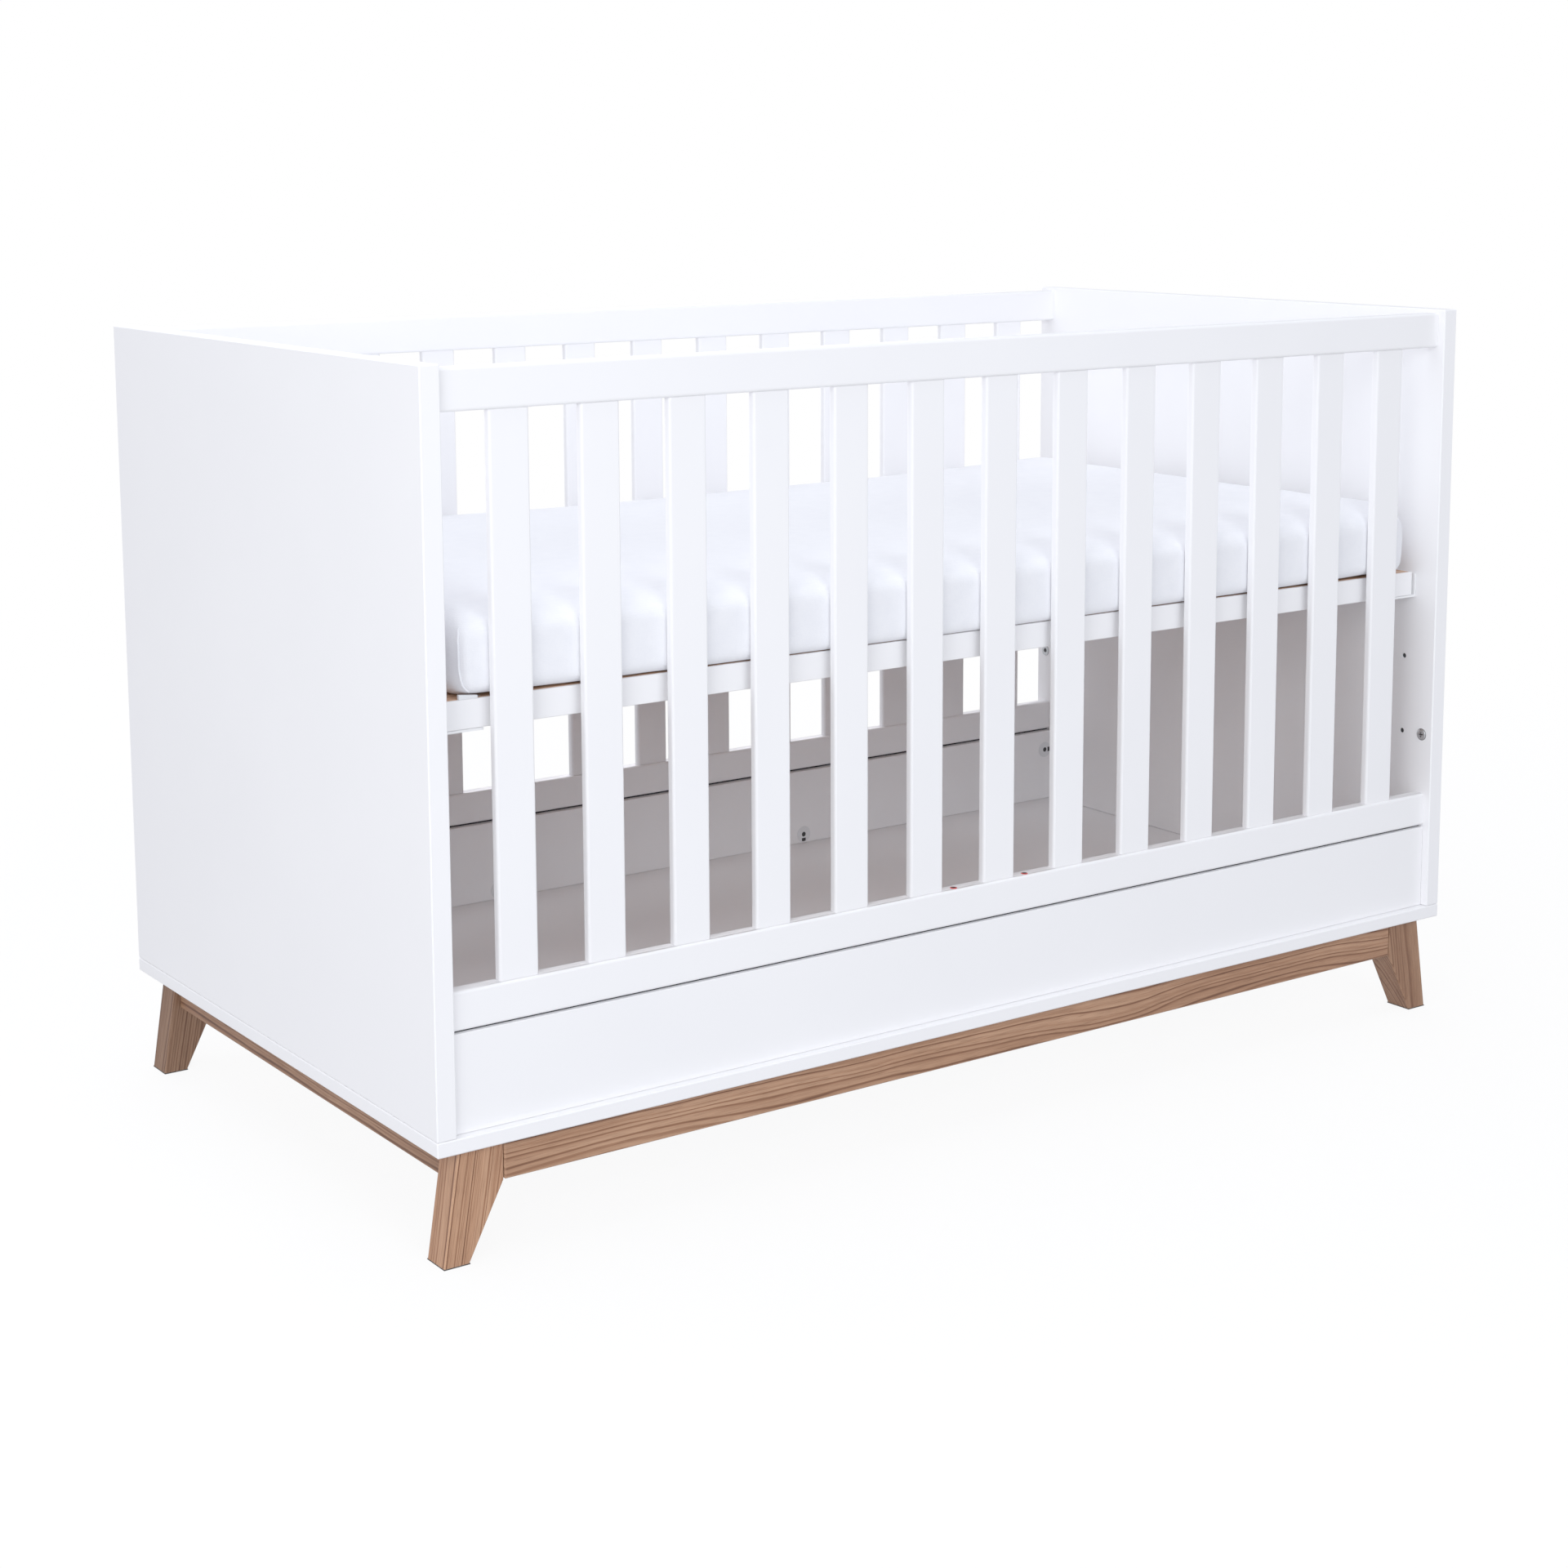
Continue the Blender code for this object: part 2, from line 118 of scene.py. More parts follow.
def make_sky():
    """A white backdrop, which lights the object less than it shines in view."""
    world = bpy.data.worlds.new("studio")
    world.use_nodes = True
    bpy.context.scene.world = world
    nodes = world.node_tree.nodes
    links = world.node_tree.links
    nodes.clear()
    light = nodes.new("ShaderNodeBackground")
    light.inputs["Color"].default_value = SKY_TINT
    light.inputs["Strength"].default_value = SKY_LIGHT
    seen = nodes.new("ShaderNodeBackground")
    seen.inputs["Color"].default_value = (1.0, 1.0, 1.0, 1.0)
    seen.inputs["Strength"].default_value = 1.0
    path = nodes.new("ShaderNodeLightPath")
    mix = nodes.new("ShaderNodeMixShader")
    out = nodes.new("ShaderNodeOutputWorld")
    links.new(path.outputs["Is Camera Ray"], mix.inputs["Fac"])
    links.new(light.outputs["Background"], mix.inputs[1])
    links.new(seen.outputs["Background"], mix.inputs[2])
    links.new(mix.outputs["Shader"], out.inputs["Surface"])


def make_floor():
    """A pale floor, mostly clear so that shadows stay faint, which fades into the backdrop."""
    mesh = bpy.data.meshes.new("floor")
    half = FLOOR_SIZE / 2
    corners = [(-half, -half, 0), (half, -half, 0), (half, half, 0), (-half, half, 0)]
    mesh.from_pydata(corners, [], [(0, 1, 2, 3)])
    floor = bpy.data.objects.new("floor", mesh)
    bpy.context.scene.collection.objects.link(floor)
    material = bpy.data.materials.new("floor")
    material.use_nodes = True
    tree = material.node_tree
    shader = tree.nodes["Principled BSDF"]
    shader.inputs["Base Color"].default_value = FLOOR_TONE
    shader.inputs["Roughness"].default_value = 0.95
    shader.inputs["Specular IOR Level"].default_value = 0.1
    clear = tree.nodes.new("ShaderNodeBsdfTransparent")
    place = tree.nodes.new("ShaderNodeTexCoord")
    length = tree.nodes.new("ShaderNodeVectorMath")
    length.operation = "LENGTH"
    fade = tree.nodes.new("ShaderNodeMapRange")
    fade.interpolation_type = "SMOOTHSTEP"
    fade.inputs["From Min"].default_value = FLOOR_SOLID_RADIUS
    fade.inputs["From Max"].default_value = FLOOR_FADE_RADIUS
    fade.inputs["To Min"].default_value = FLOOR_CLEAR
    mix = tree.nodes.new("ShaderNodeMixShader")
    out = tree.nodes["Material Output"]
    tree.links.new(place.outputs["Object"], length.inputs[0])
    tree.links.new(length.outputs["Value"], fade.inputs["Value"])
    tree.links.new(fade.outputs["Result"], mix.inputs["Fac"])
    tree.links.new(shader.outputs["BSDF"], mix.inputs[1])
    tree.links.new(clear.outputs["BSDF"], mix.inputs[2])
    tree.links.new(mix.outputs["Shader"], out.inputs["Surface"])
    mesh.materials.append(material)


# ---------------------------------------------------------------- material helpers


class Shading:
    """A material under construction, with short calls for the nodes that it uses."""

    def __init__(self, name, roughness, **constants):
        self.material = bpy.data.materials.new(name)
        self.material.use_nodes = True
        self.tree = self.material.node_tree
        self.shader = self.tree.nodes["Principled BSDF"]
        self.shader.inputs["Roughness"].default_value = roughness
        for socket, value in constants.items():
            self.shader.inputs[socket.replace("_", " ")].default_value = value
        self.place = self.add("ShaderNodeTexCoord").outputs["Object"]

    def add(self, kind, settings=None, **inputs):
        node = self.tree.nodes.new(kind)
        for key, value in (settings or {}).items():
            setattr(node, key, value)
        for key, value in inputs.items():
            self.feed(node.inputs[key.replace("_", " ")], value)
        return node

    def feed(self, socket, value):
        if isinstance(value, bpy.types.NodeSocket):
            self.tree.links.new(value, socket)
        else:
            socket.default_value = value

    def mapped(self, scale=(1, 1, 1), turn=(0, 0, 0), shift=(0, 0, 0)):
        """Object coordinates, turned and shifted, then scaled."""
        turned = self.add(
            "ShaderNodeMapping", Vector=self.place, Rotation=turn, Location=shift
        )
        return self.add(
            "ShaderNodeMapping", Vector=turned.outputs["Vector"], Scale=scale
        ).outputs["Vector"]

    def noise(self, vector, scale, detail=2.0, roughness=0.5, distortion=0.0):
        return self.add(
            "ShaderNodeTexNoise",
            Vector=vector,
            Scale=scale,
            Detail=detail,
            Roughness=roughness,
            Distortion=distortion,
        ).outputs["Fac"]

    def ramp(self, factor, stops):
        node = self.add("ShaderNodeValToRGB", Fac=factor)
        elements = node.color_ramp.elements
        while len(elements) < len(stops):
            elements.new(0.5)
        for element, (position, colour) in zip(elements, stops):
            element.position = position
            element.color = (*colour, 1.0)
        return node.outputs["Color"]

    def remap(self, value, from_low, from_high, to_low, to_high):
        node = self.add("ShaderNodeMapRange", Value=value)
        node.inputs["From Min"].default_value = from_low
        node.inputs["From Max"].default_value = from_high
        node.inputs["To Min"].default_value = to_low
        node.inputs["To Max"].default_value = to_high
        return node.outputs["Result"]

    def blend(self, factor, first, second, mode="MIX"):
        node = self.add("ShaderNodeMix", {"data_type": "RGBA", "blend_type": mode})
        self.feed(node.inputs["Factor"], factor)
        self.feed(node.inputs["A"], first)
        self.feed(node.inputs["B"], second)
        return node.outputs["Result"]

    def sum(self, first, second, weight):
        node = self.add("ShaderNodeMath", {"operation": "MULTIPLY_ADD"})
        self.feed(node.inputs[0], second)
        node.inputs[1].default_value = weight
        self.feed(node.inputs[2], first)
        return node.outputs["Value"]

    def product(self, first, second):
        node = self.add("ShaderNodeMath", {"operation": "MULTIPLY"})
        self.feed(node.inputs[0], first)
        self.feed(node.inputs[1], second)
        return node.outputs["Value"]

    def scaled(self, vector, along, across):
        """A vector whose X is scaled by one factor, and whose Y and Z by another."""
        return self.add(
            "ShaderNodeMapping", Vector=vector, Scale=(along, across, across)
        ).outputs["Vector"]

    def edges(self, radius):
        """About 1 on a rounded or eased edge, and 0 on a flat face."""
        rounded = self.add("ShaderNodeBevel", {"samples": 4}, Radius=radius)
        flat = self.add("ShaderNodeNewGeometry")
        likeness = self.add("ShaderNodeVectorMath", {"operation": "DOT_PRODUCT"})
        self.feed(likeness.inputs[0], rounded.outputs["Normal"])
        self.feed(likeness.inputs[1], flat.outputs["Normal"])
        return self.remap(likeness.outputs["Value"], 0.995, 0.90, 0.0, 0.75)

    def colour(self, source):
        self.feed(self.shader.inputs["Base Color"], source)

    def roughness(self, source):
        self.feed(self.shader.inputs["Roughness"], source)

    def bump(self, height, strength, distance):
        node = self.add("ShaderNodeBump", Height=height, Strength=strength, Distance=distance)
        self.tree.links.new(node.outputs["Normal"], self.shader.inputs["Normal"])


# ---------------------------------------------------------------- materials


def white_paint():
    """Sprayed satin lacquer: a faint orange peel, and patches a shade cooler or duller."""
    paint = Shading("white_paint", 0.42, Specular_IOR_Level=0.45)
    patches = paint.noise(paint.place, 5.0, 3.0)
    paint.colour(
        paint.ramp(patches, ((0.3, (0.920, 0.912, 0.926)), (0.7, (0.936, 0.928, 0.940))))
    )
    sheen = paint.noise(paint.place, 22.0, 4.0)
    paint.roughness(paint.remap(sheen, 0.3, 0.7, 0.37, 0.47))
    peel = paint.noise(paint.place, 700.0, 2.0)
    sanding = paint.noise(paint.place, 90.0, 2.0)
    paint.bump(paint.sum(peel, sanding, 0.8), 0.10, 0.0004)
    return paint.material


# darkest, dark, middle and light, from late wood to early wood
WOOD_TONES = {
    "ash": (
        (0.112, 0.040, 0.017),
        (0.258, 0.109, 0.052),
        (0.395, 0.194, 0.104),
        (0.530, 0.290, 0.168),
    ),
    "birch": ((0.40, 0.19, 0.10), (0.52, 0.28, 0.165), (0.60, 0.35, 0.22), (0.66, 0.41, 0.27)),
}
RING_DRIFT = 2.2  # years by which the spacing wanders
FIBRE_STRETCH = 0.022  # how slowly the grain changes along the fibres, against across them


def wood(name, tones, turn, shift, spacing, waviness=0.012, tone_and_shade=1.0):
    """Open-grained wood. Its fibres run along X after the turn, and the shift places the pith."""
    grain = Shading(name, 0.5, Specular_IOR_Level=0.35)
    # One factor scales all four tones: the wood's own depth of tone, and for some pieces painted
    # shade.
    darkest, dark, middle, light = (
        tuple(channel * tone_and_shade for channel in tone) for tone in WOOD_TONES[tones]
    )
    log = grain.mapped((1.0, 1.0, 1.0), turn, shift)
    ring, count = growth_rings(grain, log, spacing, waviness)
    strength = grain.add("ShaderNodeTexNoise", {"noise_dimensions": "1D"}, W=count, Scale=0.9)
    strength.inputs["Detail"].default_value = 2.0
    late = grain.product(ring, grain.remap(strength.outputs["Fac"], 0.36, 0.66, 0.12, 1.0))
    clouds = grain.noise(grain.scaled(log, 2.6, 30.0), 1.0, 3.0)
    body = grain.ramp(
        grain.sum(grain.sum(0.0, late, 0.56), clouds, 0.62),
        ((0.20, light), (0.38, middle), (0.62, dark), (0.88, darkest)),
    )
    fibres = grain.noise(grain.scaled(log, 1100.0 * FIBRE_STRETCH, 1100.0), 1.0, 3.0, 0.65)
    fibre_tone = grain.ramp(fibres, ((0.30, (0.72, 0.69, 0.66)), (0.64, (1.12, 1.11, 1.09))))
    lit = grain.blend(0.8, body, fibre_tone, "MULTIPLY")
    pores = grain.noise(grain.scaled(log, 42.0, 1500.0), 1.0, 1.0)
    open_pores = grain.remap(pores, 0.28, 0.40, 0.0, 1.0)
    pore_tone = grain.ramp(open_pores, ((0.0, (0.62, 0.55, 0.50)), (1.0, (1.0, 1.0, 1.0))))
    tone = grain.blend(0.75, lit, pore_tone, "MULTIPLY")
    # Eased edges are painted lighter: a painted highlight where the rounded edges catch light.
    painted_edge_highlight = tuple(min(channel * 1.16, 1.0) for channel in light)
    grain.colour(grain.blend(grain.edges(0.0016), tone, (*painted_edge_highlight, 1.0)))
    grain.roughness(grain.remap(fibres, 0.3, 0.7, 0.60, 0.46))
    grain.bump(grain.sum(open_pores, fibres, 0.6), 0.3, 0.0003)
    return grain.material


def growth_rings(grain, log, spacing, waviness):
    """How late in its year the wood grew, from 0 to 1, and the years counted from the pith."""
    flat = grain.add("ShaderNodeVectorMath", {"operation": "MULTIPLY"})
    grain.feed(flat.inputs[0], log)
    flat.inputs[1].default_value = (0.0, 1.0, 1.0)
    radius = grain.add("ShaderNodeVectorMath", {"operation": "LENGTH"})
    grain.feed(radius.inputs[0], flat.outputs["Vector"])
    bend = grain.noise(grain.scaled(log, 3.2, 8.0), 1.0, 1.0)
    ripple = grain.noise(grain.scaled(log, 9.0, 60.0), 1.0, 2.0)
    reach = grain.sum(grain.sum(radius.outputs["Value"], bend, waviness), ripple, waviness * 0.13)
    even = grain.product(reach, 1.0 / spacing)
    drift = grain.add("ShaderNodeTexNoise", {"noise_dimensions": "1D"}, W=even, Scale=0.31)
    drift.inputs["Detail"].default_value = 1.0
    count = grain.sum(even, drift.outputs["Fac"], RING_DRIFT)
    ring = grain.add("ShaderNodeMath", {"operation": "FRACT"})
    grain.feed(ring.inputs[0], count)
    late = grain.add("ShaderNodeFloatCurve", Value=ring.outputs["Value"])
    curve = late.mapping.curves[0]
    curve.points[0].location = (0.0, 0.25)
    curve.points[1].location = (1.0, 0.35)
    for place in ((0.12, 0.0), (0.55, 0.28), (0.86, 1.0), (0.95, 0.85)):
        curve.points.new(*place)
    late.mapping.update()
    return late.outputs["Value"], count


def knitted_cover():
    """Fine white jersey: rows of small stitches, with a soft nap."""
    cloth = Shading("knitted_cover", 0.85, Specular_IOR_Level=0.25, Sheen_Weight=0.25)
    cloth.shader.inputs["Sheen Roughness"].default_value = 0.5
    stitches = cloth.add(
        "ShaderNodeTexVoronoi",
        {"feature": "SMOOTH_F1"},
        Vector=cloth.mapped((1.0, 1.0, 0.7)),
        Scale=760.0,
        Randomness=0.35,
        Smoothness=0.6,
    ).outputs["Distance"]
    nap = cloth.noise(cloth.place, 55.0, 4.0, 0.6)
    tone = cloth.ramp(nap, ((0.3, (0.85, 0.855, 0.895)), (0.7, (0.885, 0.888, 0.92))))
    knots = cloth.ramp(stitches, ((0.2, (1.0, 1.0, 1.0)), (0.9, (0.955, 0.955, 0.965))))
    cloth.colour(cloth.blend(1.0, tone, knots, "MULTIPLY"))
    cloth.roughness(cloth.remap(nap, 0.3, 0.7, 0.8, 0.95))
    cloth.bump(cloth.sum(stitches, nap, 1.4), 0.35, 0.0006)
    return cloth.material


def powder_coat():
    """White powder-coated steel, with a fine pebbled skin."""
    coat = Shading("powder_coat", 0.4, Specular_IOR_Level=0.5)
    cloud = coat.noise(coat.place, 12.0, 3.0)
    coat.colour(coat.ramp(cloud, ((0.3, (0.87, 0.87, 0.88)), (0.7, (0.90, 0.90, 0.91)))))
    pebbles = coat.noise(coat.place, 950.0, 2.0)
    coat.roughness(coat.remap(pebbles, 0.3, 0.7, 0.35, 0.46))
    coat.bump(pebbles, 0.2, 0.0003)
    return coat.material


def zinc_steel():
    """Zinc-plated steel: fine spangle, slightly brushed."""
    metal = Shading("zinc_steel", 0.35, Metallic=1.0)
    spangle = metal.noise(metal.place, 420.0, 3.0, 0.7)
    brushed = metal.noise(metal.mapped((40.0, 900.0, 900.0)), 1.0, 2.0)
    metal.colour(metal.ramp(spangle, ((0.3, (0.50, 0.51, 0.52)), (0.7, (0.68, 0.69, 0.70)))))
    metal.roughness(metal.remap(brushed, 0.3, 0.7, 0.28, 0.45))
    metal.bump(brushed, 0.12, 0.0002)
    return metal.material


def felt():
    """Dark grey-brown pressed felt."""
    wool = Shading("felt", 0.95, Specular_IOR_Level=0.2)
    hairs = wool.noise(wool.place, 1400.0, 4.0, 0.7, 1.5)
    wool.colour(wool.ramp(hairs, ((0.3, (0.045, 0.038, 0.034)), (0.7, (0.11, 0.095, 0.085)))))
    wool.bump(hairs, 0.6, 0.0005)
    return wool.material


def moulded_plastic(name, colour, roughness):
    """Moulded plastic with a light spark-eroded texture."""
    plastic = Shading(name, roughness, Specular_IOR_Level=0.5)
    cloud = plastic.noise(plastic.place, 60.0, 2.0)
    low = tuple(channel * 0.94 for channel in colour)
    plastic.colour(plastic.ramp(cloud, ((0.3, low), (0.7, colour))))
    grit = plastic.noise(plastic.place, 1500.0, 2.0)
    plastic.roughness(plastic.remap(grit, 0.3, 0.7, roughness - 0.06, roughness + 0.06))
    plastic.bump(grit, 0.15, 0.0002)
    return plastic.material


# ---------------------------------------------------------------- mesh helpers


def link_mesh(name, mesh, material, body):
    """A new piece of one material, riding on its body."""
    made = bpy.data.objects.new(name, mesh)
    bpy.context.scene.collection.objects.link(made)
    made.data.materials.clear()
    made.data.materials.append(material)
    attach(made, body)
    return made


def mesh_from(bm, name):
    """A mesh that shades smoothly across all but its sharp edges."""
    bmesh.ops.recalc_face_normals(bm, faces=bm.faces)
    mesh = bpy.data.meshes.new(name)
    bm.to_mesh(mesh)
    bm.free()
    mesh.shade_smooth()
    mesh.set_sharp_from_angle(angle=SHARP_ANGLE)
    return mesh


def smooth_copy(node, material, body):
    """The node's own solid with its facets joined, so that rounded edges shade smoothly."""
    bm = bmesh.new()
    bm.from_mesh(frame["nodes"][node].data)
    bmesh.ops.remove_doubles(bm, verts=bm.verts, dist=WELD)
    made = link_mesh(node + "_surface", mesh_from(bm, node), material, body)
    keep_flat(made)
    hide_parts(node)
    return made


def keep_flat(thing):
    """Wide flat faces keep their own normals, so that only the rounded edges shade as round."""
    weighting = thing.modifiers.new("weighting", "WEIGHTED_NORMAL")
    weighting.mode = "FACE_AREA"
    weighting.weight = 100
    weighting.keep_sharp = True
    thing.data = evaluated(thing)
    thing.modifiers.clear()


def evaluated(thing):
    """The object's mesh with its modifiers applied."""
    graph = bpy.context.evaluated_depsgraph_get()
    return bpy.data.meshes.new_from_object(thing.evaluated_get(graph))


def turned(profile, steps):
    """A mesh spun from (radius, height) points about Z."""
    bm = bmesh.new()
    verts = [bm.verts.new((radius, 0.0, height)) for radius, height in profile]
    edges = [bm.edges.new(pair) for pair in zip(verts, verts[1:])]
    bmesh.ops.spin(
        bm,
        geom=verts + edges,
        cent=(0.0, 0.0, 0.0),
        axis=(0.0, 0.0, 1.0),
        angle=math.tau,
        steps=steps,
        use_merge=True,
    )
    bmesh.ops.remove_doubles(bm, verts=bm.verts, dist=WELD / 10)
    return bm


def box_bm(low, high, edge=0.0):
    """A box between two corners, with its edges eased if asked."""
    bm = bmesh.new()
    bmesh.ops.create_cube(bm, size=1.0)
    bmesh.ops.scale(bm, vec=Vector(high) - Vector(low), verts=bm.verts)
    bmesh.ops.translate(bm, vec=(Vector(high) + Vector(low)) / 2, verts=bm.verts)
    if edge:
        bmesh.ops.bevel(
            bm, geom=list(bm.edges), offset=edge, segments=2, profile=0.5, affect="EDGES"
        )
    return bm


def cut_away(solid, cutters, name):
    """One mesh less the others, by exact Booleans."""
    base = bpy.data.objects.new(name, mesh_from(solid, name))
    bpy.context.scene.collection.objects.link(base)
    tools = []
    for cutter in cutters:
        tool = bpy.data.objects.new("cutter", mesh_from(cutter, "cutter"))
        bpy.context.scene.collection.objects.link(tool)
        modifier = base.modifiers.new("cut", "BOOLEAN")
        modifier.operation = "DIFFERENCE"
        modifier.object = tool
        tools.append(tool)
    mesh = evaluated(base)
    mesh.name = name
    for thing in tools + [base]:
        bpy.data.objects.remove(thing)
    mesh.shade_smooth()
    mesh.set_sharp_from_angle(angle=SHARP_ANGLE)
    return mesh


def placed(mesh, name, material, body, place, normal):
    """A copy of a mesh made along +Z, turned to face along a normal, at a place."""
    copy = mesh.copy()
    turn = Vector((0.0, 0.0, 1.0)).rotation_difference(Vector(normal))
    copy.transform(Matrix.Translation(place) @ turn.to_matrix().to_4x4())
    return link_mesh(name, copy, material, body)


# ---------------------------------------------------------------- boards, rails and slats


def dress_boards(paint):
    for node in ("left_end_panel", "right_end_panel", "base_board", "front_apron", "rear_apron"):
        give(node, paint)
    for side in ("front", "rear"):
        smooth_copy(side + "_top_rail", paint, "crib_frame")
        smooth_copy(side + "_bottom_rail", paint, "crib_frame")
        give("deck_rail_" + side, paint)
    bodies = frame["record"]["behaviour"]["bodies"]
    for body, members in bodies.items():
        for node in members:
            if "_slat_" in node and not node.startswith("deck"):
                smooth_copy(node, paint, body)


def give(node, material):
    """A CAD piece that stays in view takes its material."""
    for slot in frame["nodes"][node].material_slots:
        slot.material = material


LEG_LEAN = math.radians(9.0)
ALONG_X = (0.0, 0.0, 0.0)
ALONG_Y = (0.0, 0.0, math.pi / 2)

# node: grain direction, pith offset, ring spacing, waviness, depth of tone
PLINTH_GRAIN = {
    "front_plinth_rail": (ALONG_X, (0.30, 0.352, -0.060), 0.0056, 0.036, 0.90),
    "rear_plinth_rail": (ALONG_X, (0.90, -0.330, -0.050), 0.0046, 0.030, 0.95),
    "left_plinth_rail": (ALONG_Y, (0.20, 0.640, -0.020), 0.0040, 0.012, 0.72),
    "right_plinth_rail": (ALONG_Y, (0.70, -0.660, -0.030), 0.0042, 0.014, 0.95),
}
# node: pith offset, ring spacing, waviness, depth of tone, which for the rear left leg is also
# painted shade
LEG_GRAIN = {
    "front_left_leg": ((0.10, 0.300, -0.590), 0.0030, 0.006, 1.06),
    "front_right_leg": ((0.30, 0.330, 0.700), 0.0036, 0.022, 0.68),
    # The rear left leg's low tone is partly painted shade from under the crib.
    "rear_left_leg": ((0.55, -0.300, -0.600), 0.0032, 0.008, 0.50),
    "rear_right_leg": ((0.80, -0.310, 0.620), 0.0034, 0.010, 0.85),
}


def dress_wood():
    for node, (turn, shift, spacing, waviness, tone_and_shade) in PLINTH_GRAIN.items():
        give(node, wood("ash_" + node, "ash", turn, shift, spacing, waviness, tone_and_shade))
    for node, (shift, spacing, waviness, tone_and_shade) in LEG_GRAIN.items():
        lean = -LEG_LEAN if "left" in node else LEG_LEAN
        upright = (0.0, math.pi / 2 + lean, 0.0)
        give(node, wood("ash_" + node, "ash", upright, shift, spacing, waviness, tone_and_shade))
    veneer = wood("birch_board", "birch", ALONG_X, (0.0, 0.1, -0.40), 0.010, 0.060)
    give("deck_board", plied(veneer))
    for index, place in enumerate(("left", "middle", "right")):
        shift = (0.3 * index, 0.05 + 0.36 * index, -0.50)
        give("deck_batten_" + place, wood("birch_" + place, "birch", ALONG_Y, shift, 0.004))


def plied(material):
    """The board's material, with veneer layers on its upright edges and inside its air holes."""
    tree = material.node_tree
    shader = tree.nodes["Principled BSDF"]
    face_tone = shader.inputs["Base Color"].links[0].from_socket
    place = tree.nodes.new("ShaderNodeTexCoord")
    layers = tree.nodes.new("ShaderNodeTexWave")
    layers.bands_direction = "Z"
    layers.inputs["Scale"].default_value = 210.0
    layers.inputs["Distortion"].default_value = 0.7
    tones = tree.nodes.new("ShaderNodeValToRGB")
    tones.color_ramp.elements[0].position = 0.25
    tones.color_ramp.elements[0].color = (*WOOD_TONES["birch"][0], 1.0)
    tones.color_ramp.elements[1].position = 0.6
    tones.color_ramp.elements[1].color = (*WOOD_TONES["birch"][3], 1.0)
    facing = tree.nodes.new("ShaderNodeNewGeometry")
    split = tree.nodes.new("ShaderNodeSeparateXYZ")
    steep = tree.nodes.new("ShaderNodeMath")
    steep.operation = "ABSOLUTE"
    upright = tree.nodes.new("ShaderNodeMapRange")
    upright.inputs["From Min"].default_value = 0.4
    upright.inputs["From Max"].default_value = 0.6
    upright.inputs["To Min"].default_value = 0.85
    upright.inputs["To Max"].default_value = 0.0
    mix = tree.nodes.new("ShaderNodeMix")
    mix.data_type = "RGBA"
    tree.links.new(place.outputs["Object"], layers.inputs["Vector"])
    tree.links.new(layers.outputs["Fac"], tones.inputs["Fac"])
    tree.links.new(facing.outputs["True Normal"], split.inputs["Vector"])
    tree.links.new(split.outputs["Z"], steep.inputs[0])
    tree.links.new(steep.outputs["Value"], upright.inputs["Value"])
    tree.links.new(upright.outputs["Result"], mix.inputs["Factor"])
    tree.links.new(face_tone, mix.inputs["A"])
    tree.links.new(tones.outputs["Color"], mix.inputs["B"])
    tree.links.new(mix.outputs["Result"], shader.inputs["Base Color"])
    return material


# ---------------------------------------------------------------- mattress

VOXEL = 0.008
SWELL_FRAMES = 20
SWELL_PRESSURE = 4.0
SWELL_CAP = 0.006
START_INSET = 0.004
TOP_SAG = 0.009
EDGE_LIFT = 0.0030  # of the bottom edge above the deck at the very ends, by the stiff cover
EDGE_RISE = 0.0068  # of the bottom edge from the middle towards the ends
EDGE_DROOP = 0.0052  # of the bottom edge over the deck rail, at the middle
SIDE_BULGE = 0.0198
OVERHANG = 0.0020  # of the bottom edge past the deck rail, at the middle
CORNER_RADIUS = 0.020
TOP_RADIUS = 0.022
BOTTOM_RADIUS = 0.007
SEAM_RADIUS = 0.0011
SEAM_INSET = 0.002
SEAM_CURL = 0.075
SEAM_STEPS = 24
SEAM_TOP_DROP = 0.012
SEAM_FOOT_RISE = 0.004
SEAM_REACH = 0.002
SLAT_CLEARANCE = 0.0010
END_PROUD = 0.0006  # of the cover past the foam at the mattress's ends
START_DROP = 0.003  # of the block's top before it is blown up


def rounded_block(low, high):
    """The foam block: its upright corners, then its top and bottom rims, are rounded."""
    bm = box_bm(low, high)
    upright = [e for e in bm.edges if abs(e.verts[0].co.z - e.verts[1].co.z) > WELD]
    bmesh.ops.bevel(
        bm, geom=upright, offset=CORNER_RADIUS, segments=6, profile=0.5, affect="EDGES"
    )
    for level, radius in ((high.z, TOP_RADIUS), (low.z, BOTTOM_RADIUS)):
        rim = [
            e
            for e in bm.edges
            if all(abs(v.co.z - level) < WELD for v in e.verts)
            and any(abs(f.normal.z) < 0.5 for f in e.link_faces)
        ]
        bmesh.ops.bevel(bm, geom=rim, offset=radius, segments=6, profile=0.5, affect="EDGES")
    return bm


def swollen(block):
    """The block's cover, blown up a little by cloth simulation and held within a cap."""
    block.modifiers.new("even", "REMESH").voxel_size = VOXEL
    block.modifiers["even"].mode = "VOXEL"
    mesh = evaluated(block)
    block.modifiers.clear()
    block.data = mesh
    start = [vert.co.copy() for vert in mesh.vertices]
    cloth = block.modifiers.new("cover", "CLOTH")
    cloth.settings.quality = 4
    cloth.settings.mass = 0.25
    cloth.settings.tension_stiffness = 25.0
    cloth.settings.compression_stiffness = 25.0
    cloth.settings.bending_stiffness = 2.0
    cloth.settings.use_pressure = True
    cloth.settings.uniform_pressure_force = SWELL_PRESSURE
    cloth.settings.effector_weights.gravity = 0.0
    cloth.collision_settings.use_collision = False
    cloth.point_cache.frame_end = SWELL_FRAMES
    for step in range(1, SWELL_FRAMES + 1):
        bpy.context.scene.frame_set(step)
    blown = evaluated(block)
    moved = [vert.co.copy() for vert in blown.vertices]
    block.modifiers.clear()
    bpy.context.scene.frame_set(1)
    return start, moved


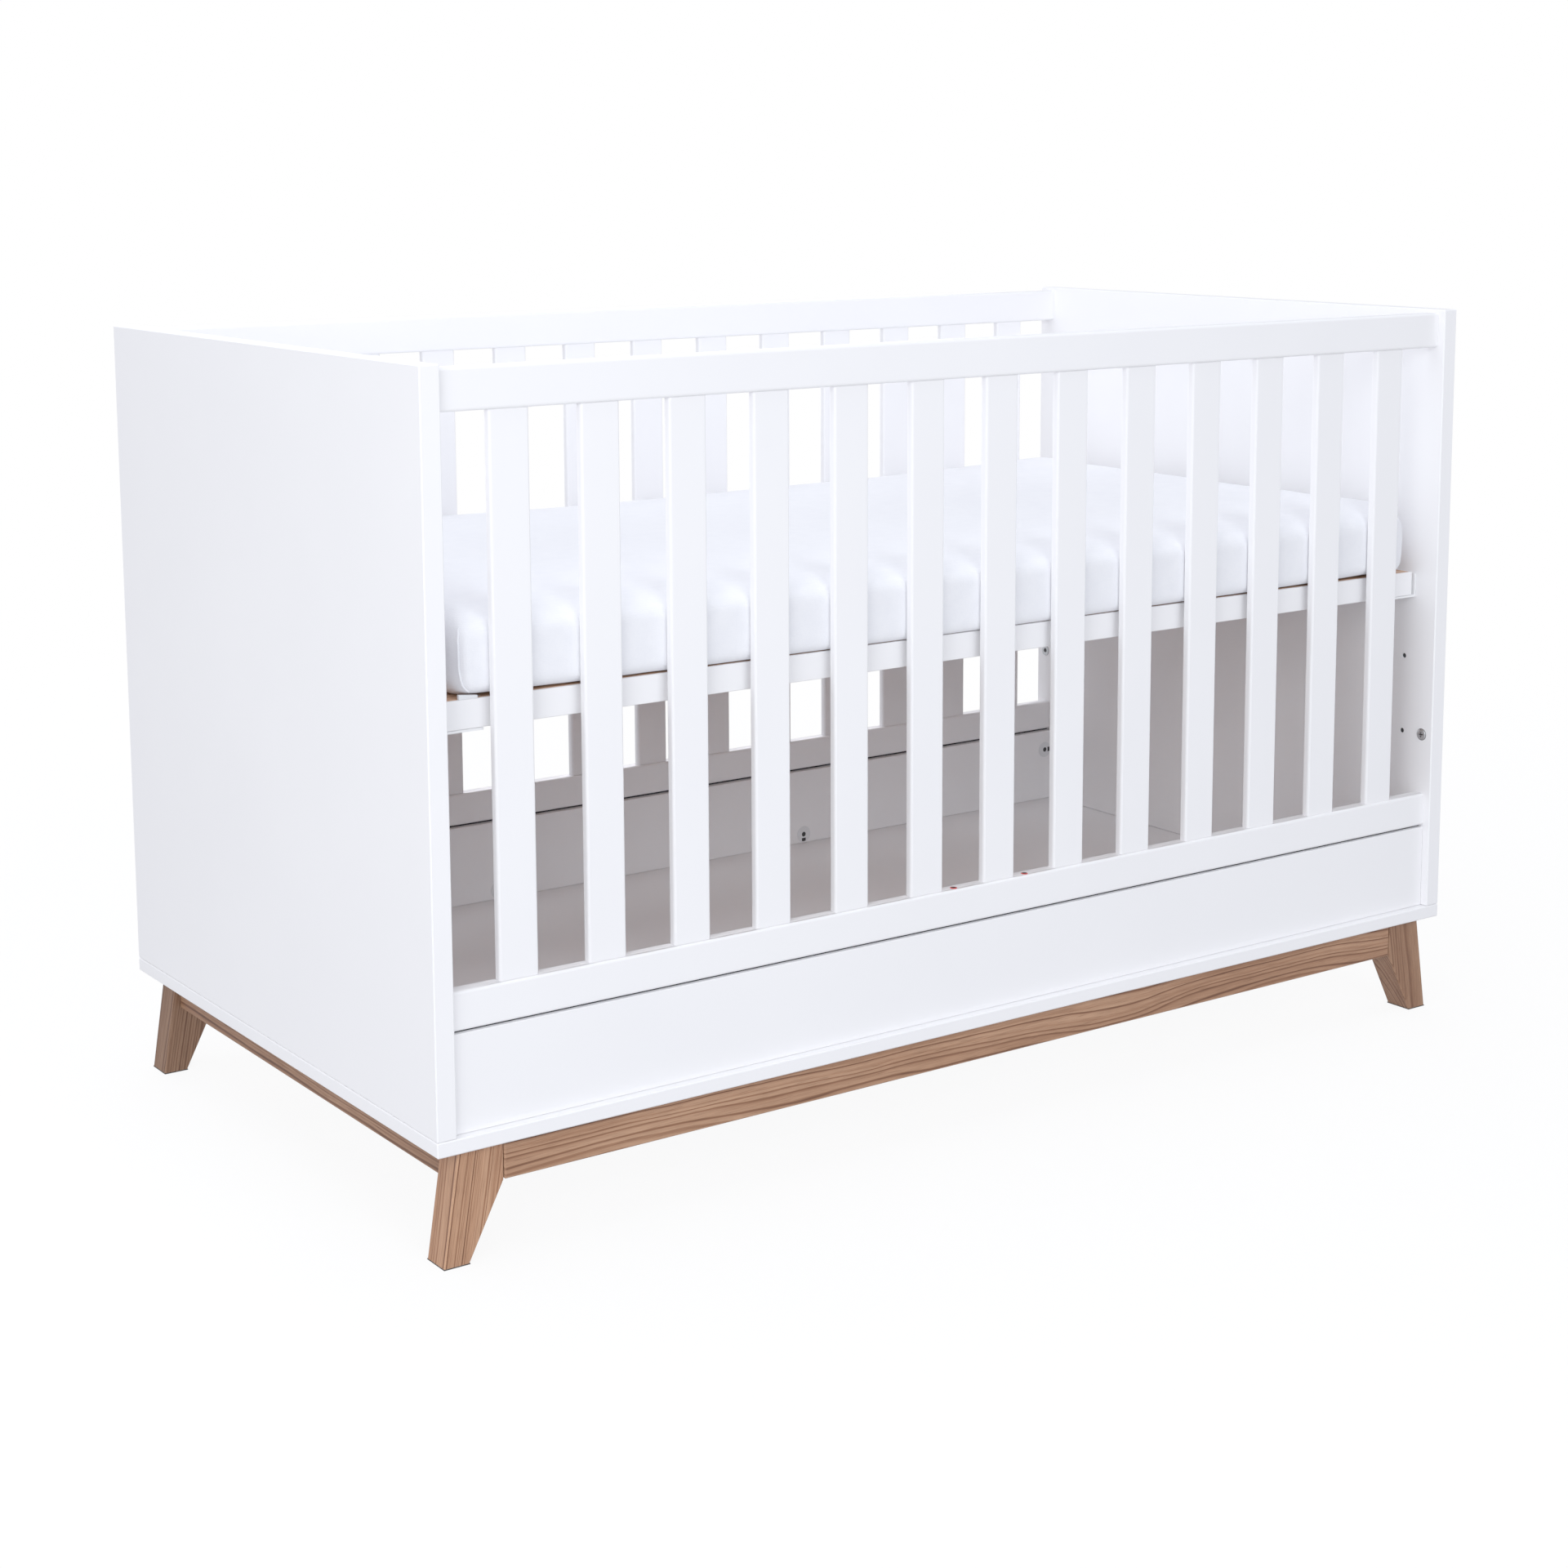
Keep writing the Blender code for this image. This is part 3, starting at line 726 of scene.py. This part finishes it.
def settle(point, low, high):
    """Lay a point of the cover on the deck: the middle sags, the long sides bulge and droop."""
    along = min(abs(point.x) / high.x, 1.0)
    across = min(abs(point.y) / high.y, 1.0)
    height = min(max((point.z - low.z) / (high.z - low.z), 0.0), 1.0)
    rim = smooth(0.90, 0.975, across)
    end = smooth(0.975, 1.0, along)
    sag = TOP_SAG * (1.0 - along**2) * height**2
    long_edge = EDGE_RISE * along + EDGE_LIFT * along**8 - EDGE_DROOP
    foot = long_edge * rim * (1.0 - height) ** 4 + EDGE_LIFT * end * (1.0 - height) ** 3
    belly = (4.0 * height * (1.0 - height)) ** (0.2 if height < 0.5 else 0.6)
    pucker = noise.noise(Vector((point.x * 13.0, point.y * 13.0, point.z * 6.0)))
    ripple = noise.noise(Vector((point.x * 48.0, point.y * 48.0, point.z * 15.0 + 4.0)))
    swell = SIDE_BULGE + 0.0010 * pucker + 0.0003 * ripple
    droop = smooth(0.0, 0.5, 1.0 - height) * OVERHANG * (1.0 - along**2)
    crown = 0.0012 * noise.noise(Vector((point.x * 6.0, point.y * 8.0, 2.0))) * height**3
    moved = point.copy()
    moved.y += math.copysign(rim * (belly * swell + droop), point.y)
    moved.x += math.copysign(end * belly * swell * 0.15, point.x)
    moved.z += crown + foot - sag
    return moved


def smooth(low, high, value):
    """0 below low, 1 above high, and a smooth step between."""
    part = min(max((value - low) / (high - low), 0.0), 1.0)
    return part * part * (3.0 - 2.0 * part)


def make_mattress(cover):
    """The covered mattress, which lies on the deck board and stays clear of the slats."""
    low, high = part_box("mattress")
    deck_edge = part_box("deck_rail_rear")[1].y
    slat_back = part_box("rear_slat_01")[0].y - SLAT_CLEARANCE
    inset = Vector((START_INSET, START_INSET, 0.0))
    top_inset = inset + Vector((0.0, 0.0, START_DROP))
    mesh = mesh_from(rounded_block(low + inset, high - top_inset), "block")
    block = bpy.data.objects.new("block", mesh)
    bpy.context.scene.collection.objects.link(block)
    start, moved = swollen(block)
    mesh = block.data
    for vert, before, after in zip(mesh.vertices, start, moved):
        step = after - before
        if step.length > SWELL_CAP:
            step *= SWELL_CAP / step.length
        point = settle(before + step, low, high)
        on_deck = abs(point.y) < deck_edge and abs(point.x) < high.x
        if on_deck:
            point.z = max(point.z, low.z)
        point.x = max(min(point.x, high.x + END_PROUD), -high.x - END_PROUD)
        point.y = max(min(point.y, slat_back), -slat_back)
        vert.co = point
    subdivision = block.modifiers.new("fine", "SUBSURF")
    subdivision.levels = 1
    subdivision.render_levels = 1
    fine = evaluated(block)
    bpy.data.objects.remove(block)
    fine.name = "mattress_cover"
    fine.shade_smooth()
    made = link_mesh("mattress_cover", fine, cover, "mattress")
    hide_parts("mattress")
    return made


def corner_seams(mattress, thread):
    """A raised seam down each upright corner of the cover."""
    low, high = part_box("mattress")
    surface = BVHTree.FromObject(mattress, bpy.context.evaluated_depsgraph_get())
    for index, (x_sign, y_sign) in enumerate(((-1, -1), (1, -1), (1, 1), (-1, 1))):
        points = []
        for step in range(SEAM_STEPS + 1):
            run = step / SEAM_STEPS
            z = high.z - SEAM_TOP_DROP - run * (high.z - low.z - SEAM_TOP_DROP - SEAM_FOOT_RISE)
            inward = SEAM_INSET + SEAM_CURL * max(0.0, run - 0.5) ** 2
            guess = Vector((x_sign * (high.x - inward), y_sign * (high.y + SEAM_REACH), z))
            spot, normal, _, _ = surface.find_nearest(guess)
            points.append(spot + normal * SEAM_RADIUS * 0.25)
        bm = tube(points, SEAM_RADIUS, 8)
        mesh = mesh_from(bm, "corner_seam")
        link_mesh(f"mattress_corner_seam_{index + 1}", mesh, thread, "mattress")


def tube(points, radius, sides):
    """A round tube through points, closed at both ends."""
    bm = bmesh.new()
    rings = []
    for index, point in enumerate(points):
        before = points[max(index - 1, 0)]
        after = points[min(index + 1, len(points) - 1)]
        along = (after - before).normalized()
        across = along.cross(Vector((0.3, 0.9, 0.1))).normalized()
        other = along.cross(across)
        ring = []
        for side in range(sides):
            angle = math.tau * side / sides
            offset = across * math.cos(angle) + other * math.sin(angle)
            ring.append(bm.verts.new(point + offset * radius))
        rings.append(ring)
    for first, second in zip(rings, rings[1:]):
        for side in range(sides):
            follower = (side + 1) % sides
            bm.faces.new((first[side], first[follower], second[follower], second[side]))
    bm.faces.new(rings[0][::-1])
    bm.faces.new(rings[-1])
    return bm


# ---------------------------------------------------------------- small hardware

SCREW_RADIUS = 0.0070
SCREW_RISE = 0.0012
RIM_WIDTH = 0.0007  # of the dark ring round a screw or an insert, painted shade of the gap round its head
HOLE_RADIUS = 0.0033
HOLE_ROW = 0.334
HOLE_PITCH = 0.0979
HOLE_SHADE = 0.0012  # depth of the dark disc, painted shade, in a height hole
TOP_HOLE_Z = 0.5557
RING_OUTER = 0.0075
RING_INNER = 0.0032
CONNECTOR_Z = 0.360
CONNECTOR_Y = 0.3665
CAM_RADIUS = 0.0115
CAM_RISE = 0.0006
CAM_HOLE = 0.0035
CAM_SLOT = (-0.0112, -0.0052)
CAM_X = 0.245
CAM_INSET = 0.0125  # of a cam's middle from the board that its bolt enters
CAM_HEIGHT = 0.075
DECK_SCREWS = 6
DECK_SCREW_REACH = 0.93  # of the deck board's half length
DECK_SCREW_INSET = 0.008
ANGLE_SCREW_IN = 0.020
ANGLE_SCREW_INSET = 0.010
HOLDER_X = 0.6605
HOLDER_SETBACK = 0.0026
HOLDER_LOW = (-0.0115, -0.0022, 0.0)
HOLDER_HIGH = (0.0095, 0.0022, 0.0052)
HOLDER_EDGE = 0.0008
HOLDER_TAPER_FROM = 0.005
HOLDER_TAPER = 0.6
GLIDE_THICK = 0.0014
GLIDE_PROUD = 0.0003
JOINT_SETBACK = 0.0065  # of the dark strip, painted shade of the joint, behind the rail's outer face
JOINT_DEPTH = 0.006
JOINT_OVERLAP = 0.0002
JOINT_END_GAP = 0.0005
MARKER_RADIUS = 0.0040
MARKER_RISE = 0.0006
MARKER_EYE = 0.0029
MARKER_GAP = 0.0175  # from a bar's edge to its marker's middle
MARKER_FORWARD = 0.0022


def cross_screw(radius, rise, recess):
    """A low domed screw head with a cross recess."""
    profile = [
        (0.0, -rise),
        (radius, -rise),
        (radius, rise * 0.35),
        (radius * 0.93, rise * 0.72),
        (radius * 0.7, rise * 0.94),
        (0.0, rise),
    ]
    arms = []
    for across, along in ((recess * 0.22, recess), (recess, recess * 0.22)):
        arms.append(box_bm((-across, -along, -rise * 0.5), (across, along, rise * 2)))
    return cut_away(turned(profile, 40), arms, "cross_screw")


def ringed_insert():
    """A threaded insert: a flat ring round an open bore; the bore's dark bottom, painted shade, is a
    separate disc.
    """
    profile = [
        (RING_INNER, -0.0005),
        (RING_OUTER, -0.0005),
        (RING_OUTER, 0.0005),
        (RING_OUTER * 0.94, 0.0008),
        (RING_INNER * 1.15, 0.0008),
        (RING_INNER, 0.0004),
        (RING_INNER, -0.0005),
    ]
    return mesh_from(turned(profile, 40), "ringed_insert")


def plug_disc(radius, rise):
    """A flat disc with an eased upper rim."""
    profile = [
        (0.0, -rise),
        (radius, -rise),
        (radius, rise * 0.4),
        (radius * 0.9, rise),
        (0.0, rise),
    ]
    return mesh_from(turned(profile, 40), "plug_disc")


def cam_cover():
    """A cam fitting's round cover, with its turning hole and the slot that the bolt enters by."""
    profile = [
        (0.0, -CAM_RISE),
        (CAM_RADIUS, -CAM_RISE),
        (CAM_RADIUS, CAM_RISE * 0.3),
        (CAM_RADIUS * 0.95, CAM_RISE),
        (0.0, CAM_RISE),
    ]
    hole = turned([(0.0, -0.01), (CAM_HOLE, -0.01), (CAM_HOLE, 0.01), (0.0, 0.01)], 24)
    slot = box_bm((-CAM_HOLE, CAM_SLOT[0], -0.01), (CAM_HOLE, CAM_SLOT[1], 0.01))
    return cut_away(turned(profile, 48), [hole, slot], "cam_cover")


def fit_connectors(steel, black):
    """On each end panel's inner face: a screw in front, a ring behind, and height holes, with dark
    discs of painted shade in the ring's bore, round both heads and in the holes.
    """
    screw = cross_screw(SCREW_RADIUS, SCREW_RISE, 0.0035)
    ring = ringed_insert()
    bore = plug_disc(RING_INNER, 0.0003)
    rim = plug_disc(SCREW_RADIUS + RIM_WIDTH, 0.0002)
    well = plug_disc(HOLE_RADIUS * 0.94, 0.0002)
    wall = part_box("right_end_panel")[0].x
    for end, sign in (("left", -1), ("right", 1)):
        inward = (-sign, 0.0, 0.0)
        front = Vector((sign * wall, -CONNECTOR_Y, CONNECTOR_Z))
        rear = Vector((sign * wall, CONNECTOR_Y, CONNECTOR_Z))
        placed(screw, f"{end}_connector_screw", steel, "crib_frame", front, inward)
        placed(ring, f"{end}_insert_ring", steel, "crib_frame", rear, inward)
        # The insert's bore holds a dark disc: painted shade inside the hole.
        placed(bore, f"{end}_insert_bore", black, "crib_frame", rear, inward)
        # A dark ring under each screw and insert head: painted shade of the gap round it.
        for side, spot in (("screw", front), ("insert", rear)):
            name = f"{end}_{side}_rim"
            placed(rim, name, black, "crib_frame", spot, inward)
        # A dark disc just below the face in each height hole: painted shade inside the hole.
        for level in (1, 2):
            for side, y in (("front", -HOLE_ROW), ("rear", HOLE_ROW)):
                spot = Vector((sign * (wall + HOLE_SHADE), y, TOP_HOLE_Z - level * HOLE_PITCH))
                name = f"{end}_{side}_hole_bottom_{level}"
                placed(well, name, black, "crib_frame", spot, inward)


def fit_cams(plastic, black):
    """Cam fittings on the aprons' inner faces: two down to the base board, two into the panels."""
    cover = cam_cover()
    # A dark disc inside each cover, seen through its turning hole and slot: painted shade in the
    # fitting.
    dark = plug_disc(CAM_RADIUS * 0.9, CAM_RISE * 0.25)
    apron_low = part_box("rear_apron")[0]
    base_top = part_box("base_board")[1].z
    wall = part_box("right_end_panel")[0].x
    spots = []
    for sign in (-1, 1):
        spots.append((sign * CAM_X, base_top + CAM_INSET, 0.0))
        spots.append((sign * (wall - CAM_INSET), apron_low.z + CAM_HEIGHT, sign * math.pi / 2))
    for side, y_sign in (("front", -1), ("rear", 1)):
        for index, (x, z, turn) in enumerate(spots):
            place = Vector((x, y_sign * apron_low.y, z))
            swing = Matrix.Rotation(turn * -y_sign, 4, "Y")
            stand = Euler((math.pi / 2 * y_sign, 0.0, 0.0)).to_matrix().to_4x4()
            if y_sign < 0:
                stand = stand @ Matrix.Rotation(math.pi, 4, "Z")
            whole = Matrix.Translation(place) @ swing @ stand
            for part, mesh, material, slot in (
                ("cover", cover, plastic, "white_plastic"),
                ("well", dark, black, "black_plastic"),
            ):
                copy = mesh.copy()
                copy.transform(whole)
                link_mesh(f"{side}_cam_{part}_{index + 1}", copy, material, "crib_frame")


def fit_glides(black):
    """A thin glide under each leg, on the leg's own flat end."""
    for side in ("front", "rear"):
        for end in ("left", "right"):
            leg = frame["nodes"][f"{side}_{end}_leg"].data
            foot = [vert.co for vert in leg.vertices if vert.co.z < 0.004]
            low = Vector([min(co[axis] for co in foot) - GLIDE_PROUD for axis in range(3)])
            high = Vector([max(co[axis] for co in foot) + GLIDE_PROUD for axis in range(3)])
            low.z, high.z = 0.0, GLIDE_THICK
            pad = mesh_from(box_bm(low, high, GLIDE_THICK * 0.3), "glide")
            link_mesh(f"{side}_{end}_glide", pad, black, "crib_frame")


def fit_joint_shade_strips(black):
    """A dark strip in the gap between each apron and the rail above it: painted shade of the joint.
    """
    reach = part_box("right_end_panel")[0].x - JOINT_END_GAP
    for side, sign in (("front", -1), ("rear", 1)):
        rail_low, rail_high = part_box(side + "_bottom_rail")
        apron_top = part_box(side + "_apron")[1].z
        near = rail_high.y - JOINT_SETBACK if sign > 0 else rail_low.y + JOINT_SETBACK
        far = near - sign * JOINT_DEPTH
        low = Vector((-reach, min(near, far), apron_top - JOINT_OVERLAP))
        high = Vector((reach, max(near, far), rail_low.z + JOINT_OVERLAP))
        strip = mesh_from(box_bm(low, high), "joint_shade_strip")
        link_mesh(side + "_joint_shade_strip", strip, black, "crib_frame")


def fit_markers(red, black):
    """Beside each lift-out bar, a red cap with a dark eye."""
    dot = plug_disc(MARKER_RADIUS, MARKER_RISE)
    eye = plug_disc(MARKER_EYE, MARKER_RISE * 0.3)
    low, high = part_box("front_bottom_rail")
    for number in (6, 7):
        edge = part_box(f"front_slat_{number:02d}")[1].x
        place = Vector((edge + MARKER_GAP, (low.y + high.y) / 2 - MARKER_FORWARD, high.z))
        for part, mesh, material, slot, rise in (
            ("cap", dot, red, "red_plastic", 0.0),
            ("eye", eye, black, "black_plastic", MARKER_RISE),
        ):
            spot = place + Vector((0.0, 0.0, rise))
            name = f"lift_bar_marker_{number}_{part}"
            placed(mesh, name, material, "crib_frame", spot, (0, 0, 1))


def fit_deck_hardware(steel, plastic):
    """Screws down through the deck board and up through the angles, and two board holders."""
    screw = cross_screw(0.0036, 0.0005, 0.0020)
    low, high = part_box("deck_board")
    for index in range(DECK_SCREWS):
        x = high.x * DECK_SCREW_REACH * (2 * index / (DECK_SCREWS - 1) - 1)
        for side, sign in (("front", -1), ("rear", 1)):
            place = Vector((x, sign * (high.y - DECK_SCREW_INSET), high.z))
            name = f"deck_screw_{side}_{index + 1}"
            placed(screw, name, steel, "mattress_base", place, (0, 0, 1))
    washer = cross_screw(0.0055, 0.0011, 0.0026)
    for end, sign in (("left", -1), ("right", 1)):
        low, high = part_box(f"deck_angle_{end}")
        inner = high.x if sign < 0 else low.x
        for side, y_sign in (("front", -1), ("rear", 1)):
            y = y_sign * (high.y - ANGLE_SCREW_INSET)
            place = Vector((inner + sign * ANGLE_SCREW_IN, y, low.z))
            name = f"deck_angle_screw_{end}_{side}"
            placed(washer, name, steel, "mattress_base", place, (0, 0, -1))
    rail_low, rail_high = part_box("deck_rail_front")
    for name, sign in (("front_left", -1), ("rear_right", 1)):
        place = Vector((sign * HOLDER_X, sign * (abs(rail_low.y) - HOLDER_SETBACK), rail_high.z))
        holder = box_bm(HOLDER_LOW, HOLDER_HIGH, HOLDER_EDGE)
        for vert in holder.verts:
            if vert.co.x > HOLDER_TAPER_FROM:
                vert.co.z *= HOLDER_TAPER
        mesh = mesh_from(holder, "board_holder")
        mesh.transform(
            Matrix.Translation(place)
            @ Matrix.Rotation(0.0 if sign < 0 else math.pi, 4, "Z")
        )
        link_mesh(f"deck_board_holder_{name}", mesh, plastic, "mattress_base")


# ---------------------------------------------------------------- the whole


def main():
    bpy.context.scene.view_settings.view_transform = "Standard"
    bpy.context.scene.view_settings.gamma = SOFT_CONTRAST
    make_camera()
    make_lights()
    make_sky()
    make_floor()
    paint = white_paint()
    steel = zinc_steel()
    coat = powder_coat()
    white = moulded_plastic("white_plastic", (0.80, 0.81, 0.83), 0.45)
    black = moulded_plastic("black_plastic", (0.02, 0.02, 0.022), 0.6)
    red = moulded_plastic("red_plastic", (0.68, 0.035, 0.03), 0.5)
    cover = knitted_cover()
    dress_boards(paint)
    dress_wood()
    for end in ("left", "right"):
        give("deck_angle_" + end, coat)
        for side in ("front", "rear"):
            give(f"deck_bolt_{end}_{side}", steel)
    fit_connectors(steel, black)
    fit_cams(white, black)
    fit_glides(felt())
    fit_joint_shade_strips(black)
    fit_markers(red, black)
    fit_deck_hardware(steel, white)
    mattress = make_mattress(cover)
    corner_seams(mattress, cover)


main()
